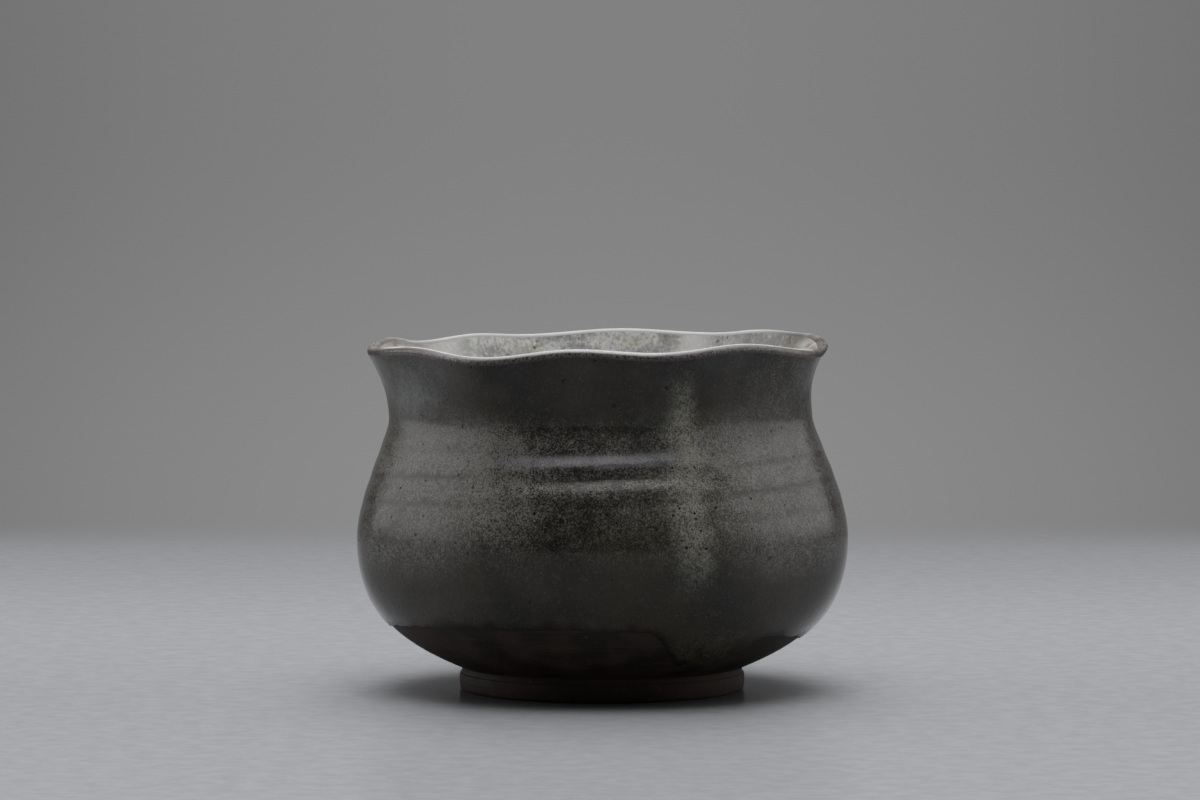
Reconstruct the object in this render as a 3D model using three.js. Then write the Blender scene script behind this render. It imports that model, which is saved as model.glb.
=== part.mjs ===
// A small deep side dish bowl in glazed stoneware: thrown round, pressed into eight soft panels,
// with a flared lip that rises over each panel, and a turned foot ring. Millimetres, +Z up.
// The origin is the centre of the foot on the surface that it stands on, and -Y is the front.
import * as THREE from "three";

// Foot ring
const footHeight = 5.3;
const footRadius = 31.8;
const footWidth = 5.2;
const footChamfer = 0.6;
const footSwell = 0.15;
const footTaper = 1;
const grooveDepth = 0.6;
const grooveHeight = 1.5;

// Thrown wall, bare clay, measured over the corners between panels
const bellyRadius = 54.8;
const bellyHeight = 34.3;
const neckRadius = 47.2;
const neckHeight = 61.5;
const lipRadius = 50.8;
const lipHeight = 77.1;
const lipThickness = 1.9;
const neckWall = 3.4;
const bellyWall = 4;
const floorThickness = 5.4;
const baseOverhang = 0.5;
const flareAngle = THREE.MathUtils.degToRad(64);
const baseAngle = THREE.MathUtils.degToRad(23);

// How far the wall's curve keeps its direction by each of these places, as a share of the height
// to the next place; for the floor, as a share of the inside radius
const hold = {
  base: 0.4, underBelly: 0.62, overBelly: 0.36, underNeck: 0.16, overNeck: 0.4, underLip: 0.38,
  insideBelly: 0.75, floor: 0.7,
};

// Recess turned inside the foot, with the nub that the turning tool leaves at its centre
const recessDepth = 0.8;
const recessSlope = 1.6;
const nubHeight = 0.9;
const nubRadius = 6;

// Glaze coats
const outerGlaze = 0.5;
const innerGlaze = 0.45;
const lipGlaze = 0.35;
const glazeEdgeShare = 0.5;
const glazeEdgeLength = 3;

// The glaze line, tilted as the bowl was dipped, with one run; azimuths in degrees
const glazeLineHeight = 13;
const glazeLineTilt = 4.8;
const dipAzimuth = -16;
const runAzimuth = 30;
const runHalfWidth = 22;
const runLength = 7.8;

// Throwing ridges, a spiral round the shoulder
const ridgePitch = 5.7;
const ridgeDepth = 0.2;
const ridgeCentre = 47.2;
const ridgeSpan = 14;

// Panels, anticlockwise seen from above: each starts at a corner, in degrees from the front to +X.
// A rise is how far the lip stands above lipHeight at that corner or mid-panel, in shares of lipWave.
const lipWave = 1.4;
const panels = [
  { corner: 15, cornerRise: -0.1, crestRise: 0.8 },
  { corner: 72, cornerRise: -0.6, crestRise: -0.6 },
  { corner: 110, cornerRise: 0.8, crestRise: 0.95 },
  { corner: 149, cornerRise: 0.1, crestRise: 0.65 },
  { corner: 200, cornerRise: -0.3, crestRise: 0 },
  { corner: 233, cornerRise: -0.8, crestRise: 0.3 },
  { corner: 278, cornerRise: -0.55, crestRise: 0.05 },
  { corner: 329.5, cornerRise: -0.95, crestRise: 0.4 },
];
const bodyFlatness = 0.37;
const lipFlatness = 0.51;
const cornerSharpness = 1.3;
const pressStart = 13;
const pressFull = 34;
const panelTwist = THREE.MathUtils.degToRad(6);

// The whole lip stands a little to one side
const lipLean = 1.05;

// How far below the neck the twist, the lip's wave and its lean begin
const twistReach = 16;
const waveReach = 8;
const leanReach = 4;

// Fineness of the surfaces
const columnsPerPanel = 7;
const bareRows = 3;
const coatedRows = [4, 4, 4];
const outerRows = [7, 22, 7];
const clayCrownRows = 3;
const crownRows = 5;
const innerRows = 12;

const smooth = THREE.MathUtils.smoothstep;
const lerp = THREE.MathUtils.lerp;
const point = (x, y) => new THREE.Vector2(x, y);

// Columns: where each one stands in its panel, from 0 at one corner to 1 at the next
function makeColumns() {
  return panels.flatMap((panel, i) => {
    const next = panels[(i + 1) % panels.length];
    const span = THREE.MathUtils.euclideanModulo(next.corner - panel.corner, 360);
    return Array.from({ length: columnsPerPanel }, (_, k) => {
      const share = k / columnsPerPanel;
      const bow = Math.sin(Math.PI * share);
      const meanCorner = (panel.cornerRise + next.cornerRise) / 2;
      const line = lerp(panel.cornerRise, next.cornerRise, smooth(share, 0, 1));
      return {
        azimuth: THREE.MathUtils.degToRad(panel.corner + span * share),
        flat: (1 - Math.cos(THREE.MathUtils.degToRad(span / 2))) * bow ** cornerSharpness,
        rise: lipWave * (line + (panel.crestRise - meanCorner) * bow ** 2),
      };
    });
  });
}
const columns = makeColumns();

// Presses a point of the round form, at radius and height, into its panel
function press({ x: radius, y: height }, column) {
  const flatness = bodyFlatness * smooth(height, pressStart, pressFull)
    + (lipFlatness - bodyFlatness) * smooth(height, neckHeight, lipHeight);
  const pressed = radius - flatness * bellyRadius * column.flat;
  const azimuth = column.azimuth + panelTwist * (1 - smooth(height, neckHeight - twistReach, lipHeight));
  const lift = column.rise * smooth(height, neckHeight - waveReach, lipHeight);
  const lean = lipLean * smooth(height, neckHeight - leanReach, lipHeight);
  return new THREE.Vector3(
    pressed * Math.sin(azimuth) - lean,
    -pressed * Math.cos(azimuth),
    height + lift,
  );
}

const along = new THREE.Vector2(Math.cos(flareAngle), Math.sin(flareAngle));
const across = new THREE.Vector2(along.y, -along.x);
const lipCentre = point(lipRadius - lipThickness / 2, lipHeight - lipThickness / 2);
const lipPoint = (offset, distance) => lipCentre.clone()
  .addScaledVector(across, offset).addScaledVector(along, distance);

function pathThrough(...stretches) {
  const path = new THREE.CurvePath();
  stretches.forEach((places) => path.add(new THREE.CubicBezierCurve(...places)));
  return path;
}

// Outside of the clay, from the foot up to the lip
function makeOuterPath() {
  const start = point(footRadius - grooveDepth + baseOverhang, footHeight);
  const belly = point(bellyRadius, bellyHeight);
  const neck = point(neckRadius, neckHeight);
  const end = lipPoint(lipThickness / 2, 0);
  const rise = [bellyHeight - footHeight, neckHeight - bellyHeight, lipHeight - neckHeight];
  const slope = point(Math.cos(baseAngle), Math.sin(baseAngle));
  return pathThrough(
    [
      start,
      start.clone().addScaledVector(slope, hold.base * rise[0]),
      belly.clone().sub(point(0, hold.underBelly * rise[0])),
      belly,
    ],
    [
      belly,
      belly.clone().add(point(0, hold.overBelly * rise[1])),
      neck.clone().sub(point(0, hold.underNeck * rise[1])),
      neck,
    ],
    [
      neck,
      neck.clone().add(point(0, hold.overNeck * rise[2])),
      end.clone().addScaledVector(along, -hold.underLip * rise[2]),
      end,
    ],
  );
}

// Inside of the clay, from the lip down to the centre of the floor
function makeInnerPath() {
  const start = lipPoint(-lipThickness / 2, 0);
  const neck = point(neckRadius - neckWall, neckHeight);
  const belly = point(bellyRadius - bellyWall, bellyHeight);
  const floor = point(0, footHeight + floorThickness);
  const drop = [lipHeight - neckHeight, neckHeight - bellyHeight, bellyHeight - floor.y];
  return pathThrough(
    [
      start,
      start.clone().addScaledVector(along, -hold.underLip * drop[0]),
      neck.clone().add(point(0, hold.overNeck * drop[0])),
      neck,
    ],
    [
      neck,
      neck.clone().sub(point(0, hold.underNeck * drop[1])),
      belly.clone().add(point(0, hold.overBelly * drop[1])),
      belly,
    ],
    [
      belly,
      belly.clone().sub(point(0, hold.insideBelly * drop[2])),
      floor.clone().add(point(hold.floor * belly.x, 0)),
      floor,
    ],
  );
}
const outerPath = makeOuterPath();
const innerPath = makeInnerPath();

// The share of the outside path that lies below a height
function shareBelow(height) {
  let low = 0;
  let high = 1;
  while (high - low > 1e-7) {
    const middle = (low + high) / 2;
    if (outerPath.getPoint(middle).y < height) low = middle;
    else high = middle;
  }
  return low;
}

// A point of a path, moved off the clay by the thickness of the coat
function coat(path, share, thickness) {
  const tangent = path.getTangent(share);
  return path.getPoint(share).add(point(tangent.y, -tangent.x).multiplyScalar(thickness));
}

// A coat thins above the neck, and over the lip it is as thin as the lip's own
const thinned = (body, height) => lerp(body, lipGlaze, smooth(height, neckHeight, lipHeight - lipThickness));

// How far up the outside of the clay the glaze starts at an azimuth
function glazeStart(azimuth) {
  const degrees = THREE.MathUtils.radToDeg(azimuth);
  const fromRun = THREE.MathUtils.euclideanModulo(degrees - runAzimuth + 180, 360) - 180;
  const run = Math.cos(Math.PI / 2 * Math.min(1, Math.abs(fromRun) / runHalfWidth)) ** 2;
  const tilt = Math.cos(THREE.MathUtils.degToRad(degrees - dipAzimuth));
  return shareBelow(glazeLineHeight + glazeLineTilt * tilt - runLength * run);
}
const glazeStarts = columns.map((column) => glazeStart(column.azimuth + panelTwist));
const ridgeLimits = [shareBelow(ridgeCentre - ridgeSpan), shareBelow(ridgeCentre + ridgeSpan)];

// Rings: one point for each column
const ring = (at) => columns.map((column, i) => press(at(i, column), column));
const rings = (count, at) => Array.from({ length: count + 1 }, (_, k) => ring((i) => at(k / count, i)));

// Rings from the glaze line to the lip, in three bands: below, on and above the throwing ridges
function glazedRings(counts, at) {
  const stops = (i) => [glazeStarts[i], ...ridgeLimits, 1];
  return [
    ring((i, column) => at(glazeStarts[i], i, column)),
    ...counts.flatMap((count, band) => Array.from({ length: count }, (_, k) => ring(
      (i, column) => at(lerp(stops(i)[band], stops(i)[band + 1], (k + 1) / count), i, column)))),
  ];
}

function ridge(height, azimuth) {
  const strength = Math.max(0, 1 - ((height - ridgeCentre) / ridgeSpan) ** 2) ** 2;
  return ridgeDepth * strength * Math.cos(2 * Math.PI * (height - ridgeCentre) / ridgePitch - azimuth);
}

function outerCoat(share, i, column) {
  const height = outerPath.getPoint(share).y;
  const fromEdge = (share - glazeStarts[i]) * outerPath.getLength() / glazeEdgeLength;
  const body = outerGlaze * lerp(glazeEdgeShare, 1, Math.sqrt(Math.min(1, fromEdge)));
  return coat(outerPath, share, thinned(body, height) + ridge(height, column.azimuth));
}

const innerCoat = (share) => coat(innerPath, share, thinned(innerGlaze, innerPath.getPoint(share).y));

const crown = (share, radius) => lipPoint(
  radius * Math.cos(Math.PI * share), radius * Math.sin(Math.PI * share));

// Skins: lists of rings, in order round the wall's section from the foot, over the lip, to the floor
const bareSkin = rings(bareRows, (share, i) => outerPath.getPoint(glazeStarts[i] * share));
const coatedSkin = glazedRings(coatedRows, (share) => outerPath.getPoint(share));
const outerSkin = glazedRings(outerRows, outerCoat);
const clayInnerSkin = rings(innerRows, (share) => innerPath.getPoint(share));
const innerSkin = rings(innerRows, innerCoat);
const crownSkin = rings(crownRows, (share) => crown(share, lipThickness / 2 + lipGlaze));
const clayCrownSkin = rings(clayCrownRows, (share) => crown(share, lipThickness / 2));

// Neighbouring skins share their end rings
bareSkin[bareRows] = coatedSkin[0];
clayCrownSkin[0] = coatedSkin.at(-1);
clayCrownSkin[clayCrownRows] = clayInnerSkin[0];
crownSkin[0] = outerSkin.at(-1);
crownSkin[crownRows] = innerSkin[0];

const seatInside = footRadius - footWidth - footTaper;
const recessTop = footHeight + recessDepth;
const undersideSkin = [
  point(0, recessTop - nubHeight),
  point(nubRadius / 2, recessTop - nubHeight / 2),
  point(nubRadius, recessTop),
  point(seatInside - recessSlope, recessTop),
  point(seatInside, footHeight),
].map((place) => ring(() => place)).concat([bareSkin[0]]);

// Adds a skin's triangles to a list of corners; a turned skin faces the other way
function addSkin(corners, skin, turned = false) {
  for (let row = 0; row + 1 < skin.length; row++) {
    columns.forEach((_, i) => {
      const next = (i + 1) % columns.length;
      const [a, b, c, d] = [skin[row][i], skin[row][next], skin[row + 1][next], skin[row + 1][i]];
      for (const triangle of [[a, b, c], [a, c, d]]) {
        const flat = triangle.some((p, k) => p.equals(triangle[(k + 1) % 3]));
        if (!flat) corners.push(...(turned ? triangle.reverse() : triangle));
      }
    });
  }
}

function solidFrom(facing, turned = []) {
  const corners = [];
  facing.forEach((skin) => addSkin(corners, skin));
  turned.forEach((skin) => addSkin(corners, skin, true));
  const geometry = new THREE.BufferGeometry().setFromPoints(corners);
  geometry.computeVertexNormals();
  return geometry;
}

const glazeLineEdge = [coatedSkin[0], outerSkin[0]];
const outerLipEdge = [outerSkin.at(-1), coatedSkin.at(-1)];
const innerLipEdge = [innerSkin[0], clayInnerSkin[0]];

const makeWall = () => solidFrom([bareSkin, coatedSkin, clayCrownSkin, clayInnerSkin, undersideSkin]);
const makeOuterGlaze = () => solidFrom([glazeLineEdge, outerSkin, outerLipEdge], [coatedSkin]);
const makeLipGlaze = () => solidFrom([crownSkin, innerLipEdge], [clayCrownSkin, outerLipEdge]);
const makeInnerGlaze = () => solidFrom([innerSkin], [clayInnerSkin, innerLipEdge]);

// The foot ring, turned on the wheel: its section goes out along the bottom, up, in and down again
function makeFootRing() {
  const edge = footRadius - footSwell;
  const top = footRadius - grooveDepth;
  const inside = footRadius - footWidth;
  const grooveStart = footHeight - grooveHeight;
  const section = new THREE.Path()
    .moveTo(inside + footChamfer, 0)
    .lineTo(edge - footChamfer, 0)
    .lineTo(edge, footChamfer)
    .quadraticCurveTo(footRadius + footSwell, footHeight / 2, edge, grooveStart)
    .quadraticCurveTo(top, grooveStart, top, footHeight)
    .lineTo(seatInside, footHeight)
    .lineTo(inside, footChamfer)
    .lineTo(inside + footChamfer, 0);
  return new THREE.LatheGeometry(section.getPoints(3), columns.length).rotateX(Math.PI / 2);
}

const clay = new THREE.MeshStandardMaterial({ color: 0x4c3b34, roughness: 0.85, metalness: 0 });
const ashGlaze = new THREE.MeshStandardMaterial({ color: 0x4f4f4a, roughness: 0.4, metalness: 0 });
const paleGlaze = new THREE.MeshStandardMaterial({ color: 0xa3a09a, roughness: 0.4, metalness: 0 });
const thinGlaze = new THREE.MeshStandardMaterial({ color: 0x7a6f66, roughness: 0.4, metalness: 0 });

function piece(name, geometry, material) {
  const mesh = new THREE.Mesh(geometry, material);
  mesh.name = name;
  return mesh;
}

const bowl = new THREE.Group();
bowl.add(
  piece("bowl_wall", makeWall(), clay),
  piece("foot_ring", makeFootRing(), clay),
  piece("outer_glaze", makeOuterGlaze(), ashGlaze),
  piece("lip_glaze", makeLipGlaze(), thinGlaze),
  piece("inner_glaze", makeInnerGlaze(), paleGlaze),
);

export default bowl;
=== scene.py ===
"""The looks of a small deep side dish bowl: glazed stoneware, thrown, pressed into eight soft panels.

The frame gives the solids. Each of the five pieces is made again here with a fine surface, from the
same profile and panels, and takes its finish from clay and glaze materials on Object coordinates.
Lengths are in metres, azimuths in degrees from the front (-Y) towards +X. In the materials, places
and sizes are in millimetres.
"""

import bisect
import math

import bmesh
import bpy
from bpy.props import FloatProperty, FloatVectorProperty, IntProperty, PointerProperty
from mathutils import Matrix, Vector


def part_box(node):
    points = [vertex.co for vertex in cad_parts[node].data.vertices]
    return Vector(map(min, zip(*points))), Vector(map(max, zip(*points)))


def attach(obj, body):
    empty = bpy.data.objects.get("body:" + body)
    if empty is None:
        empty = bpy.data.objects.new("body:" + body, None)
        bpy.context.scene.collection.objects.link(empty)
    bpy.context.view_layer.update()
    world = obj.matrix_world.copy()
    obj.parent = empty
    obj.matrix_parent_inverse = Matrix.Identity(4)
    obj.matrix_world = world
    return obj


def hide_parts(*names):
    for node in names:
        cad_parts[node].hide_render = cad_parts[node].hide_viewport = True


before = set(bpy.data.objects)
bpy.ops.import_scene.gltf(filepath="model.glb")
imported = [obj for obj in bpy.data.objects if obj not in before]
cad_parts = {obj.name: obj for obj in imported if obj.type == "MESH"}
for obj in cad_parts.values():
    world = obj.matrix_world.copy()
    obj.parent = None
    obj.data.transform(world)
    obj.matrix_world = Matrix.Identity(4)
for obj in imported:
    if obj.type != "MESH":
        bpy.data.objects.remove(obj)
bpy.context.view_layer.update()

bl_info = {
    "name": "Side dish bowl",
    "version": (1, 1, 0),
    "blender": (4, 5, 0),
    "location": "3D View > Sidebar > Bowl",
    "description": "Makes a thrown and pressed stoneware bowl with its glazes",
    "category": "Add Mesh",
}

BODY = "root"
DEGREES = math.degrees(1)
TURN = 2 * math.pi
SHARP_EDGE = math.radians(40)
BLACK = (0.0, 0.0, 0.0)

# Radius of the circle that noise is read on, round the bowl
GIRTH = 0.05

# Columns of faces round each piece
COLUMNS = {
    "clay_wall": 320, "turned_foot": 256, "ash_glaze_coat": 364, "lip_glaze_coat": 640,
    "pale_glaze_coat": 320,
}

# Steps over the lip, on the glaze and on the clay under it
LIP_STEPS = 24
LIP_CLAY_STEPS = 8

# Each panel starts at a corner: its azimuth, and how far the lip stands above the lip height there
# and at mid-panel, in shares of the lip's wave
PANELS = (
    (15.0, -0.1, 0.8),
    (72.0, -0.6, -0.6),
    (110.0, 0.8, 0.95),
    (149.0, 0.1, 0.65),
    (200.0, -0.3, 0.0),
    (233.0, -0.8, 0.3),
    (278.0, -0.55, 0.05),
    (329.5, -0.95, 0.4),
)

# How far the wall's curve keeps its direction by each of these places, as a share of the height to
# the next place; for the floor, as a share of the inside radius
HOLD = {
    "base": 0.4, "under belly": 0.62, "over belly": 0.36, "under neck": 0.16, "over neck": 0.4,
    "under lip": 0.38, "inside belly": 0.75, "floor": 0.7,
}

foot_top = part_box("foot_ring")[1].z


def length(name, default, description):
    """A length that a user can change."""
    return FloatProperty(
        name=name, description=description, default=default, subtype="DISTANCE", unit="LENGTH", precision=5)


def angle(name, degrees, description):
    """An angle that a user can change."""
    return FloatProperty(
        name=name, description=description, default=math.radians(degrees), subtype="ANGLE", unit="ROTATION")


def share(name, default, description):
    """A number without a unit that a user can change."""
    return FloatProperty(name=name, description=description, default=default)


def colour(name, default, description):
    """A linear colour that a user can change."""
    return FloatVectorProperty(
        name=name, description=description, default=default, subtype="COLOR", size=3, min=0, max=1)


class BowlForm(bpy.types.PropertyGroup):
    """The thrown and pressed form of the clay, measured over the corners between panels."""

    foot_height: length("Foot height", foot_top, "Height of the foot ring")
    foot_radius: length("Foot radius", 0.0318, "Outer radius of the foot ring")
    foot_width: length("Foot width", 0.0052, "Width of the foot ring at the bottom")
    foot_taper: length("Foot taper", 0.001, "How much wider the foot ring is at the top, inside")
    foot_chamfer: length("Foot chamfer", 0.0006, "Softened edge at the bottom of the foot")
    foot_swell: length("Foot swell", 0.00015, "How far the foot ring bulges half way up")
    groove_depth: length("Groove depth", 0.0006, "Depth of the groove between foot and wall")
    groove_height: length("Groove height", 0.0015, "Height of the groove between foot and wall")
    base_overhang: length("Base overhang", 0.0005, "How far the wall stands out over the groove")
    base_angle: angle("Base angle", 23, "Slope of the wall where it leaves the foot")
    belly_radius: length("Belly radius", 0.0548, "Radius at the belly")
    belly_height: length("Belly height", 0.0343, "Height of the belly")
    neck_radius: length("Neck radius", 0.0472, "Radius at the neck")
    neck_height: length("Neck height", 0.0615, "Height of the neck")
    lip_radius: length("Lip radius", 0.0508, "Radius at the lip")
    lip_height: length("Lip height", 0.0771, "Height of the lip before it rises and falls")
    lip_wave: length("Lip wave", 0.0014, "How far the lip rises and falls over the panels")
    lip_thickness: length("Lip thickness", 0.0019, "Thickness of the clay at the lip")
    lip_lean: length("Lip lean", 0.00105, "How far the lip leans to one side")
    flare: angle("Flare", 64, "Angle of the wall above the horizontal at the lip")
    neck_wall: length("Neck wall", 0.0034, "Thickness of the clay at the neck")
    belly_wall: length("Belly wall", 0.004, "Thickness of the clay at the belly")
    floor: length("Floor", 0.0054, "Thickness of the clay at the centre of the floor")
    recess: length("Recess", 0.0008, "Depth of the recess turned inside the foot")
    recess_slope: length("Recess slope", 0.0016, "Width of the slope round the recess")
    nub_height: length("Nub height", 0.0009, "Height of the nub left at the centre of the recess")
    nub_radius: length("Nub radius", 0.006, "Radius of the nub")
    body_flatness: share("Body flatness", 0.39, "How flat the panels are on the body")
    lip_flatness: share("Lip flatness", 0.51, "How flat the panels are at the lip")
    sharpness: share("Corner sharpness", 1.2, "Higher makes the corners softer")
    softness: share("Corner softness", 0.24, "How far each corner is rounded off")
    twist: angle("Twist", 6, "How far the panels turn between lip and body")
    twist_reach: length("Twist reach", 0.016, "How far below the neck the twist begins")
    wave_reach: length("Wave reach", 0.008, "How far below the neck the lip's wave begins")
    lean_reach: length("Lean reach", 0.004, "How far below the neck the lip's lean begins")
    flick: length("Flick", 0.0024, "How far the lip flicks out at its right end")
    flick_left: length("Left flick", 0.0008, "How far the lip flicks out at its left end")
    flick_azimuth: angle("Flick azimuth", 96, "How far round from the front both flicks are")
    flick_reach: angle("Flick reach", 20, "How far round each flick reaches")
    flick_start: length("Flick start", 0.074, "Height where the flicks begin")
    flick_full: length("Flick full", 0.0775, "Height where the flicks are fully formed")
    press_start: length("Press start", 0.013, "Height where the panels begin")
    press_full: length("Press full", 0.034, "Height where the panels are fully formed")
    unevenness: length("Unevenness", 0.00004, "Swell of the clay surface")


class BowlGlaze(bpy.types.PropertyGroup):
    """The glaze coats and the marks in their surface."""

    outer: length("Outer coat", 0.0005, "Thickness of the outer glaze")
    inner: length("Inner coat", 0.00045, "Thickness of the inner glaze")
    lip: length("Lip coat", 0.00035, "Thickness of the glaze over the lip")
    edge_share: share("Edge share", 0.5, "Share of the coat's thickness that is left at its edge")
    edge_length: length("Edge length", 0.003, "How far from its edge the coat has its full thickness")
    line_height: length("Line height", 0.013, "Mean height of the glaze line")
    line_tilt: length("Line tilt", 0.0048, "Rise of the glaze line where the bowl was dipped least")
    line_wander: length("Line wander", 0.0005, "How far the glaze line wanders from its smooth course")
    dip_azimuth: angle("Dip azimuth", -16, "Where the glaze line is highest")
    run_azimuth: angle("Run azimuth", 30, "Where the glaze ran down")
    run_width: angle("Run width", 19, "Half the width of the run")
    run_length: length("Run length", 0.0078, "How far the glaze ran down")
    ridge_depth: length("Ridge depth", 0.00034, "Half the depth of the throwing ridges")
    ridge_pitch: length("Ridge pitch", 0.0057, "Distance between throwing ridges")
    ridge_crest: length("Ridge crest", 0.0472, "Height of a ridge's crest at the front")
    ridge_centre: length("Ridge centre", 0.05, "Height where the ridges are strongest")
    ridge_span: length("Ridge span", 0.014, "How far the ridges reach above and below that")
    ring_depth: length("Ring depth", 0.00009, "Half the depth of the finger rings inside")
    ring_pitch: length("Ring pitch", 0.0068, "Distance between the finger rings inside")
    unevenness: length("Unevenness", 0.00008, "Swell of the glaze surface")
    seed: IntProperty(name="Seed", description="Changes the unevenness", default=3)


class BowlColours(bpy.types.PropertyGroup):
    """The colours of clay and glazes."""

    clay: colour("Clay", (0.048, 0.033, 0.026), "Bare clay")
    clay_dark: colour("Dark clay", (0.0145, 0.012, 0.0102), "Bare clay where the kiln darkened it")
    ash: colour("Ash glaze", (0.026, 0.0205, 0.009), "Body colour of the outer glaze")
    ash_dark: colour("Dark ash glaze", (0.0058, 0.0044, 0.0012), "Outer glaze where it is darkest")
    ash_pale: colour("Pale ash", (0.21, 0.204, 0.184), "Pale grains in the outer glaze")
    ash_blue: colour("Blue ash", (0.22, 0.235, 0.225), "Bluish green patches in the outer glaze")
    # Painted highlight: the colour of the ceiling's shine on the throwing ridges' upper faces
    ash_ridge_highlight: colour("Ridge highlight", (0.24, 0.235, 0.262), "Painted highlight on the upper faces of the throwing ridges")
    ash_cream: colour("Ash streak", (0.34, 0.335, 0.28), "Pale streak at the right of the front")
    ash_brown: colour("Ash side", (0.1, 0.088, 0.08), "Brownish glaze on the two sides")
    plum: colour("Plum", (0.045, 0.034, 0.031), "Purplish patches in the outer glaze")
    ochre: colour("Ochre", (0.075, 0.065, 0.04), "Thin glaze where it ran down over the clay")
    inside: colour("Inside glaze", (0.74, 0.735, 0.715), "Body colour of the inner glaze")
    inside_grey: colour("Inside grey", (0.37, 0.37, 0.365), "Greyer clouds in the inner glaze")
    inside_yellow: colour("Inside yellow", (0.55, 0.5, 0.36), "Yellowish clouds in the inner glaze")
    inside_brown: colour("Inside stain", (0.19, 0.125, 0.075), "Specks and stains in the inner glaze")
    lip: colour("Lip glaze", (0.25, 0.225, 0.2), "Glaze over the lip")
    # Painted highlight along the lip's crest
    lip_highlight: colour("Lip crest", (0.46, 0.455, 0.47), "Pale line along the lip's crest at the front")
    lip_brown: colour("Lip brown", (0.055, 0.036, 0.026), "Where the glaze over the lip is thin")
    lip_break: colour("Lip break", (0.014, 0.009, 0.007), "Line where the glaze breaks on the lip")


class BowlStage(bpy.types.PropertyGroup):
    """Camera, floor and the light of the room."""

    lens: FloatProperty(name="Lens", description="Focal length in millimetres", default=162, min=1)
    distance: length("Camera distance", 1.201, "Level distance from the bowl's axis to the camera")
    camera_height: length("Camera height", 0.1337, "Height of the camera above the floor")
    camera_side: length("Camera side", -0.00045, "How far the camera stands to the side of the axis")
    pitch: angle("Pitch", 3.3, "How far the camera looks down")
    floor_end: length("Floor end", 0.396, "How far behind the axis the pale floor ends")
    floor: colour("Floor", (0.355, 0.362, 0.38), "Pale floor")
    backdrop: colour("Backdrop", (0.261, 0.262, 0.265), "Backdrop behind the floor")
    backdrop_top: share("Backdrop top", 0.84, "How bright the backdrop is at the top of the picture")
    backdrop_side: share("Backdrop side", 0.8, "How bright the backdrop is at the sides of the picture")
    side_light: share("Side light", 1.35, "Light from the long windows on both sides")
    top_light: share("Top light", 4.1, "Light from the ceiling")
    corner_light: share("Corner light", 0.12, "Light from the corners behind the windows")
    back_light: share("Back light", 1.9, "Light from behind, above the backdrop")
    dim_light: share("Dim light", 0.03, "Light from the room behind the camera")


def arithmetic(operation):
    """A method that joins a field and another value by a Math node."""
    def join(field, other):
        return field.math(operation, other)

    return join


class Field:
    """A number that varies over a surface: an output socket, which arithmetic carries on from."""

    __add__ = __radd__ = arithmetic("ADD")
    __mul__ = __rmul__ = arithmetic("MULTIPLY")
    __sub__ = arithmetic("SUBTRACT")
    __truediv__ = arithmetic("DIVIDE")
    __pow__ = arithmetic("POWER")

    def __init__(self, socket):
        self.socket = socket
        self.tree = socket.id_data

    def math(self, operation, *others):
        """A Math node on this number and others."""
        values = dict(enumerate((self, *others)))
        return Field(add(self.tree, "ShaderNodeMath", values, operation=operation).outputs[0])

    def __rsub__(self, other):
        return self * -1.0 + other

    def smooth(self, low, high, first=0.0, last=1.0):
        """Goes smoothly from first to last as this number goes from low to high."""
        node = add(
            self.tree, "ShaderNodeMapRange",
            {0: self, 1: low, 2: high, 3: first, 4: last}, interpolation_type="SMOOTHSTEP")
        return Field(node.outputs[0])

    def near(self, place, reach):
        """1 where this number is at a place, and 0 beyond a reach on both sides of it."""
        return (self - place).math("ABSOLUTE").smooth(0.0, reach, 1.0, 0.0)

    def clamped(self):
        """This number held between 0 and 1."""
        node = add(self.tree, "ShaderNodeClamp", {0: self, 1: 0.0, 2: 1.0})
        return Field(node.outputs[0])


def plug(value, socket):
    """Links a field or a socket to an input, or sets the input's own value."""
    if isinstance(value, Field):
        value = value.socket
    if isinstance(value, bpy.types.NodeSocket):
        socket.id_data.links.new(value, socket)
    elif socket.type == "RGBA" and len(value) == 3:
        socket.default_value = (*value, 1.0)
    else:
        socket.default_value = value


def add(tree, kind, values=None, **settings):
    """A node with its settings and inputs."""
    node = tree.nodes.new(kind)
    for name, value in settings.items():
        setattr(node, name, value)
    for key, value in (values or {}).items():
        plug(value, node.inputs[key])
    return node


def find(tree, kind):
    """The node of a kind that a tree starts with."""
    return next(node for node in tree.nodes if node.type == kind)


def apart(vector):
    """The three parts of a vector as fields."""
    node = add(vector.id_data, "ShaderNodeSeparateXYZ", {0: vector})
    return [Field(output) for output in node.outputs]


def together(*parts):
    """A vector from three parts, of which at least one is a field."""
    tree = next(part.tree for part in parts if isinstance(part, Field))
    return add(tree, "ShaderNodeCombineXYZ", dict(enumerate(parts))).outputs[0]


def circle(azimuth, radius, height):
    """A place on a circle round the axis, for noise without a seam."""
    return together(azimuth.math("COSINE") * radius, azimuth.math("SINE") * radius, height)


def azimuth_of(x, y):
    """Degrees from the front to a place."""
    return x.math("ARCTAN2", y * -1.0) * DEGREES


def from_axis(x, y):
    """Distance of a place from the bowl's axis."""
    return (x * x + y * y).math("SQRT")


def noise(place, size, detail=3.0, roughness=0.55):
    """Noise with features of a size, mostly between 0.3 and 0.7."""
    node = add(
        place.id_data, "ShaderNodeTexNoise",
        {"Vector": place, "Scale": 1.0 / size, "Detail": detail, "Roughness": roughness})
    return Field(node.outputs["Fac"])


# Section of the bowl

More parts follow.
